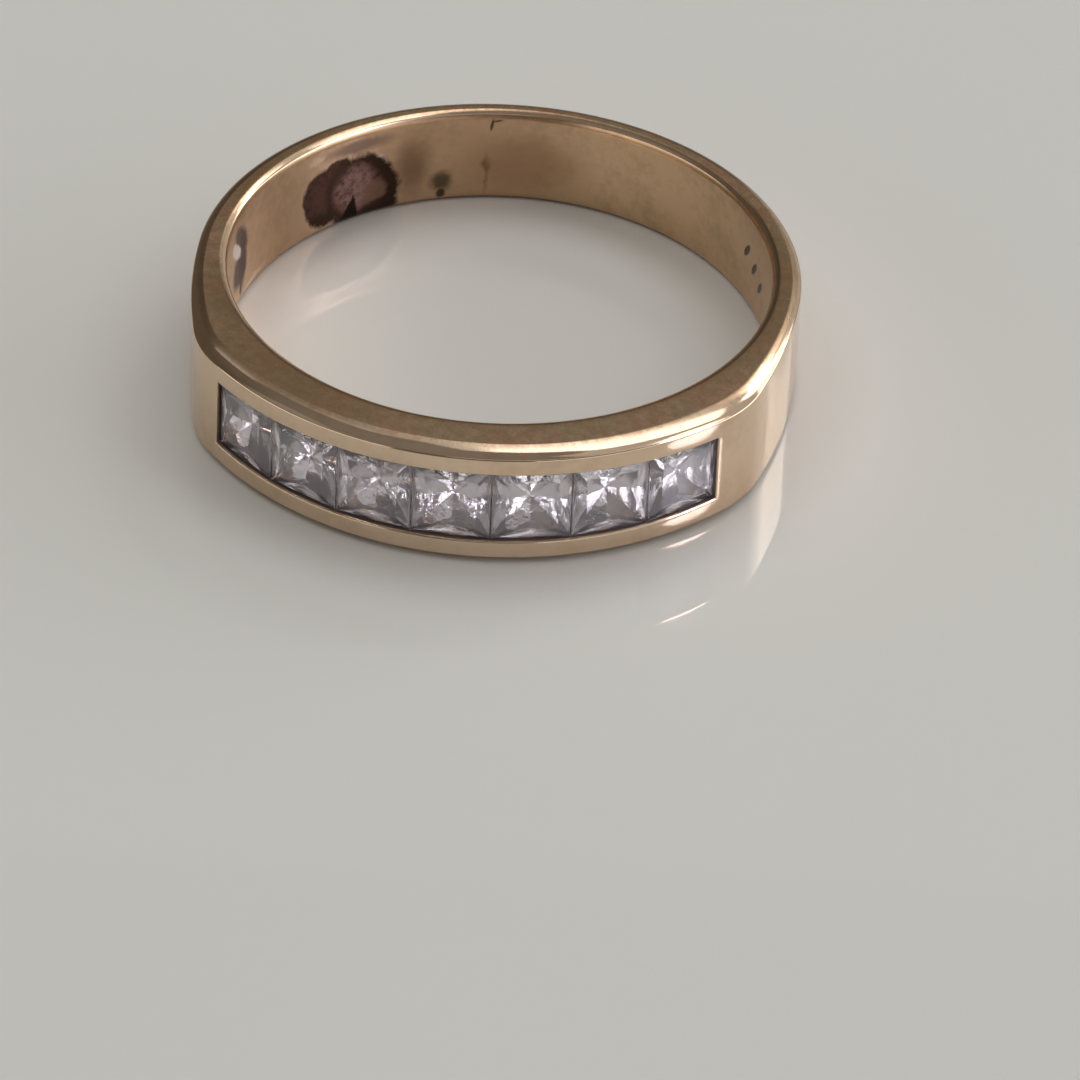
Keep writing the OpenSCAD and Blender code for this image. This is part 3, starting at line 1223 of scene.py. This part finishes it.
        # Painted shade in the channel: near black on its walls under the lips, where shade falls
        face_y = y - s.face_back
        face_d = (x * x + face_y * face_y).root()
        past_end = abs(x.angle_from(face_y * -1.0)) - math.radians(s.channel_half)
        in_mouth = abs(z).step(*self.channel_shade_height) * past_end.step(*self.channel_shade_end)
        below_lips = (s.face_r - face_d).step(*self.channel_shade_top)
        painted_shade = below_lips * (face_d - s.girdle_r).step(*self.channel_shade_foot) * in_mouth
        colour = shader.mix(painted_shade * self.channel_shade_share, colour, self.channel_shade)

        rough = self.roughness + mottle * 0.03 + on_side * (patchy * 0.16 + grain * 0.1) + lines * 0.03
        rough = rough + on_wall * self.wall_roughness + painted_shade * self.channel_shade_roughness
        rough = rough + (cover + dirt) * on_wall * self.dirt_roughness
        height = grain * 0.2 + mottle * 0.6 - lines * 0.2
        height = height + (relief * self.mark_height + cover * self.stain_height) * on_wall
        look = {
            "Base Color": colour,
            "Metallic": 1.0 - (cover * self.stain_dullness * on_wall).most(painted_shade * self.channel_shade_dullness),
            "Roughness": rough,
            "Normal": shader.bumps(height, self.relief_strength, self.relief_depth),
        }
        shader.finish("ShaderNodeBsdfPrincipled", look)
        return material


@dataclass(frozen=True)
class StoneFinish:
    """Clear cut stone with a faint lilac cast, a little haze and a dark seam along its two sides."""

    shape: RingShape
    tint: Colour = (0.95, 0.9, 0.96)
    film: Colour = (0.83, 0.77, 0.86)
    seam: Colour = (0.05, 0.045, 0.05)
    seam_share: float = 0.45
    seam_edge: Pair = (0.024, 0.01)
    clear: float = 0.9
    ior: float = 2.15
    haze: Grain = Grain(1.6)
    film_edge: Pair = (0.4, 0.75)
    haze_edge: Pair = (0.4, 0.9)
    roughness: float = 0.02
    haze_roughness: float = 0.06
    seam_roughness: float = 0.3
    ripple: Grain = Grain(3.0, 3.0, 0.6)
    ripple_depth: float = 0.016

    def build(self) -> bpy.types.Material:
        """Mixes the clear stone with its film, its seams and a faint ripple.

        Returns:
            The node material of the stones.
        """
        material = bpy.data.materials.new("clear_stone")
        shader = Shader(material)
        s = self.shape
        place = s.place(shader)
        x, y, _ = shader.split(place)
        turn = x.angle_from((y - s.face_back) * -1.0) / math.radians(s.pitch) + s.stones / 2
        dark = abs(turn - (turn + 0.5).floor()).step(*self.seam_edge)
        haze = shader.noise(place, self.haze)
        tint = shader.mix(haze.step(*self.film_edge), self.tint, self.film)
        rough = haze.step(*self.haze_edge) * self.haze_roughness + dark * self.seam_roughness
        look = {
            "Base Color": shader.mix(dark * self.seam_share, tint, self.seam),
            "IOR": self.ior,
            "Transmission Weight": self.clear,
            "Roughness": rough + self.roughness,
            "Normal": shader.bumps(shader.noise(place, self.ripple), 1.0, self.ripple_depth),
        }
        shader.finish("ShaderNodeBsdfPrincipled", look)
        return material


# Table, light and camera


class Reach(Enum):
    """Surfaces that a light acts on."""

    ALL = "all"
    MIRRORED = "glossy and clear ones"
    CLEAR = "clear ones"
    SOFT = "dull ones"


@dataclass(frozen=True)
class SoftLight:
    """A bright part of the room as upright panels, placed by azimuth and elevation in degrees.

    The azimuth is counted from the front towards +X. A wide one is split into panels side by side
    that meet at their edges. Its reach says which kinds of surface it acts on.
    """

    name: str
    azimuth: float
    half_azimuth: float
    low: float
    high: float
    radiance: float
    colour: Colour = (1.0, 1.0, 1.0)
    oval: bool = False
    reach: Reach = Reach.ALL
    distance: float = 0.6
    widest: float = 36.0

    def build(self) -> None:
        """Makes the panels. They light the ring and show in it, but the camera doesn't see them."""
        count = math.ceil(2 * self.half_azimuth / self.widest)
        half = self.half_azimuth / count
        bottom, top = (self.distance * math.tan(math.radians(end)) for end in (self.low, self.high))
        for k in range(count):
            lamp = bpy.data.lights.new(f"{self.name}_{k + 1}", "AREA")
            lamp.shape = "ELLIPSE" if self.oval else "RECTANGLE"
            lamp.size = 2 * self.distance * math.tan(math.radians(half))
            lamp.size_y = top - bottom
            area = lamp.size * lamp.size_y * (math.pi / 4 if self.oval else 1.0)
            lamp.energy = self.radiance * math.pi * area
            lamp.color = self.colour
            turn = math.radians(self.azimuth - self.half_azimuth + half * (2 * k + 1))
            way = Vector((math.sin(turn), -math.cos(turn), 0.0))
            middle = way * self.distance + Vector((0.0, 0.0, (bottom + top) / 2))
            panel = bpy.data.objects.new(lamp.name, lamp)
            turned = way.to_track_quat("Z", "Y").to_matrix().to_4x4()
            panel.matrix_world = Matrix.Translation(middle) @ turned
            panel.visible_camera = False
            panel.visible_diffuse = self.reach in (Reach.ALL, Reach.SOFT)
            panel.visible_glossy = self.reach in (Reach.ALL, Reach.MIRRORED)
            panel.visible_transmission = self.reach is not Reach.SOFT
            bpy.context.scene.collection.objects.link(panel)


@dataclass(frozen=True)
class Studio:
    """Pale table, a softly lit room and the camera. Lengths are in metres."""

    table_half: float = 6.0
    table_points: int = 9
    table_colour: Colour = (0.611, 0.615, 0.602)
    table_roughness: float = 0.012
    table_ior: float = 1.36
    table_cloud: Grain = Grain(30.0, 2.0)
    table_lift: float = 1.03
    sensor_mm: float = 36.0
    clip: Pair = (0.01, 50.0)
    camera_place: tuple[float, float, float] = (0.02456, -0.20157, 0.15383)
    camera_way: tuple[float, float, float] = (-0.0885, 0.7783, -0.6216)
    camera_roll: float = 0.042284
    focal_pixels: float = 8000.0
    frame_pixels: float = 1080.0
    walls: Colour = (0.1, 0.085, 0.068)
    overhead: Colour = (0.22, 0.205, 0.19)
    horizon: Colour = (0.19, 0.17, 0.14)
    overhead_rise: Pair = (0.6, 1.0)
    horizon_fall: Pair = (0.2, 0.0)
    # Name, azimuth, half of its width, lower and upper end, radiance, colour
    lights: tuple[SoftLight, ...] = (
        SoftLight("right_window", 101.5, 39.5, 8.5, 21.5, 3.4),
        SoftLight("right_wall", 119.0, 56.0, 24.0, 52.0, 0.38),
        SoftLight("right_ceiling", 85.0, 30.0, 58.0, 76.0, 0.3),
        SoftLight("ceiling_lamp", 151.0, 36.0, 53.0, 75.0, 1.9),
        SoftLight("ceiling_edge", 192.5, 5.5, 50.0, 76.0, 0.4),
        SoftLight("ceiling_glow", 205.0, 7.0, 43.0, 64.0, 0.26),
        SoftLight("ceiling_left", 216.0, 4.0, 42.0, 50.0, 0.3),
        SoftLight("back_glow", 186.0, 14.0, 28.0, 42.0, 0.2, (1.0, 0.92, 0.84)),
        SoftLight("back_side", 157.0, 16.0, 2.0, 24.0, 0.36),
        SoftLight("back_lamp", 145.0, 9.0, 26.0, 46.0, 1.9, oval=True),
        SoftLight("back_low", 137.0, 9.0, 13.0, 32.0, 1.2, oval=True),
        SoftLight("back_window", 157.0, 8.5, 36.8, 41.5, 7.0, (1.0, 0.98, 0.92)),
        SoftLight("shoulder_lamp", 93.0, 12.0, 43.0, 57.0, 1.8),
        SoftLight("side_window", 76.5, 10.0, 30.4, 37.4, 80.0, (0.85, 0.8, 1.0), True, Reach.MIRRORED),
        SoftLight("front_wall", 40.0, 50.0, 42.0, 59.0, 0.4),
        SoftLight("left_ceiling", 295.0, 35.0, 40.0, 58.0, 0.12),
        SoftLight("left_window", 301.5, 33.0, 10.0, 26.0, 1.3, (1.0, 0.97, 0.92)),
        SoftLight("low_front", 43.0, 23.0, 0.3, 8.1, 1.8),
        SoftLight("left_fill", 250.0, 70.0, 50.0, 80.0, 1.75, (1.0, 0.96, 0.9), reach=Reach.SOFT),
        SoftLight("gem_low", 30.0, 5.0, 1.0, 10.0, 13.0, (0.95, 0.92, 1.0), reach=Reach.CLEAR),
        SoftLight("gem_left", 353.0, 5.0, 1.0, 10.0, 12.0, (0.95, 0.92, 1.0), reach=Reach.CLEAR),
        SoftLight("gem_right", 38.0, 8.0, 12.0, 24.0, 2.5, reach=Reach.CLEAR),
        SoftLight("gem_side", 90.0, 6.0, 24.0, 36.0, 3.0, (0.9, 0.88, 1.0), reach=Reach.CLEAR),
    )

    def build_table(self) -> None:
        """Makes the glossy pale table as a flat grid."""
        skin = Skin()
        line = np.linspace(-self.table_half, self.table_half, self.table_points)
        x, y = np.meshgrid(line, line, indexing="ij")
        skin.add(np.stack([x, y, np.zeros_like(x)], -1), grid_faces(len(line), len(line)))
        table = skin.build("table", lambda points: points, 30.0)
        material = bpy.data.materials.new("pale_table")
        shader = Shader(material)
        coords = shader.node("ShaderNodeTexCoord")
        cloud = shader.noise(coords.outputs["Object"], self.table_cloud)
        lifted = tuple(c * self.table_lift for c in self.table_colour)
        shade = shader.mix(cloud, self.table_colour, lifted)
        look = {"Base Color": shade, "Roughness": self.table_roughness, "IOR": self.table_ior}
        shader.finish("ShaderNodeBsdfPrincipled", look)
        table.data.materials.append(material)

    def build_room(self) -> None:
        """Makes the surroundings: dim walls, a paler horizon and a paler ceiling."""
        world = bpy.data.worlds.new("room")
        bpy.context.scene.world = world
        shader = Shader(world)
        coords = shader.node("ShaderNodeTexCoord")
        height = shader.split(coords.outputs["Generated"])[2]
        colour = shader.mix(height.step(*self.overhead_rise), self.walls, self.overhead)
        colour = shader.mix(height.step(*self.horizon_fall), colour, self.horizon)
        shader.finish("ShaderNodeBackground", {"Color": colour})

    def build_camera(self) -> None:
        """Makes the camera from its place, its way and its roll, with the photograph's long lens."""
        lens = bpy.data.cameras.new("camera")
        lens.sensor_width = self.sensor_mm
        lens.lens = self.focal_pixels / self.frame_pixels * self.sensor_mm
        lens.clip_start, lens.clip_end = self.clip
        way = Vector(self.camera_way).normalized()
        right = way.cross(Vector((0, 0, 1))).normalized()
        up = right.cross(way)
        cos, sin = math.cos(self.camera_roll), math.sin(self.camera_roll)
        right, up = right * cos + up * sin, up * cos - right * sin
        turn = Matrix((right, up, -way)).transposed().to_4x4()
        camera = bpy.data.objects.new("camera", lens)
        camera.matrix_world = Matrix.Translation(self.camera_place) @ turn
        bpy.context.scene.collection.objects.link(camera)
        bpy.context.scene.camera = camera

    def build(self) -> None:
        """Makes the table, the room, the lights and the camera."""
        self.build_camera()
        self.build_table()
        self.build_room()
        for light in self.lights:
            light.build()
        bpy.context.scene.view_settings.view_transform = "Standard"


def main() -> None:
    """Builds the studio and each piece of the ring, in order."""
    logging.basicConfig(level=logging.INFO, format="%(name)s: %(message)s")
    Studio().build()
    shape = RingShape()
    band = GoldBand(shape).build()
    band.data.materials.append(GoldFinish(shape).build())
    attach(band, "root")
    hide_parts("band")
    LOG.info("%s: %d faces", band.name, len(band.data.polygons))
    stone_material = StoneFinish(shape).build()
    for number in range(1, shape.stones + 1):
        stone = CutStone(shape, number).build()
        stone.data.materials.append(stone_material)
        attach(stone, "root")
        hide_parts(f"stone_{number}")
        LOG.info("%s: %d faces", stone.name, len(stone.data.polygons))


if __name__ == "__main__":
    main()
